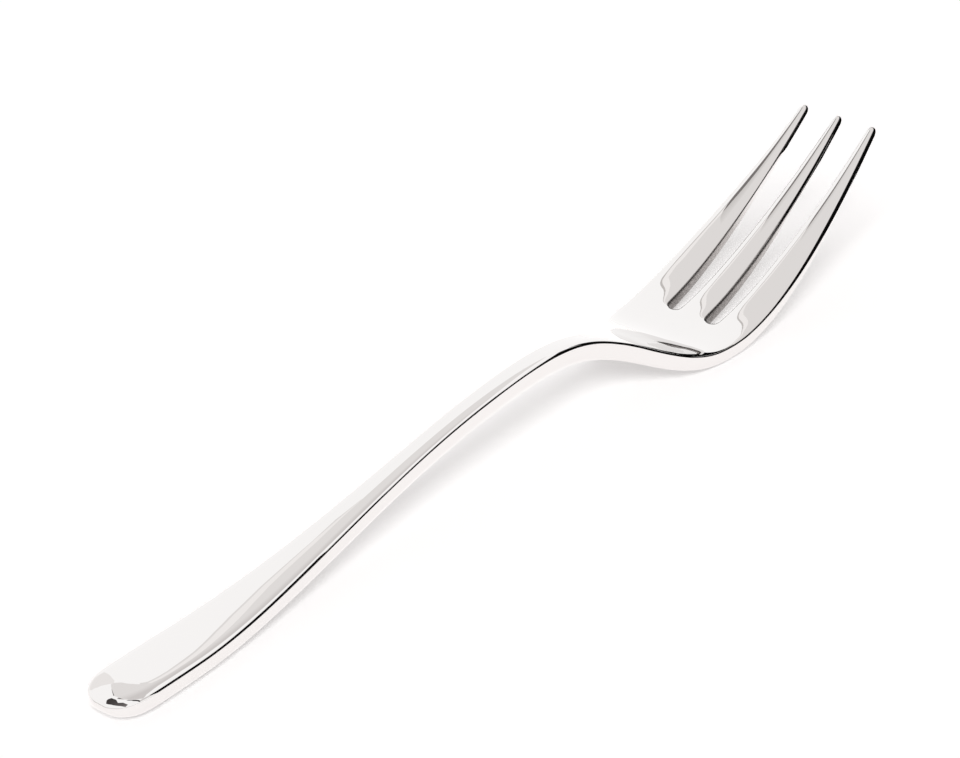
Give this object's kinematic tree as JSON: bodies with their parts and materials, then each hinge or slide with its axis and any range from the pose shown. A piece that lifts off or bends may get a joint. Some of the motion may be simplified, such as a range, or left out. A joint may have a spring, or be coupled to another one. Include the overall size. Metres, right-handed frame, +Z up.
{
  "type": "serving fork",
  "caption": "Solid mirror-polished steel serving fork with a slim arched neck, a broad palm and long tapering tines, for lifting and serving food.",
  "frame": {"origin": "on the table, under the middle of the fork's length and width as it lies", "axes": "+X from the handle's rounded end to the tine tips, +Y to the fork's left, +Z up from the table"},
  "size_m": [0.2402, 0.0298, 0.0315],
  "materials": {
    "polished_steel": "mirror-polished solid stainless steel, not plated"
  },
  "bodies": {
    "root": {"handle": "polished_steel", "neck": "polished_steel", "palm": "polished_steel", "left_tine": "polished_steel", "middle_tine": "polished_steel", "right_tine": "polished_steel"}
  },
  "joints": []
}
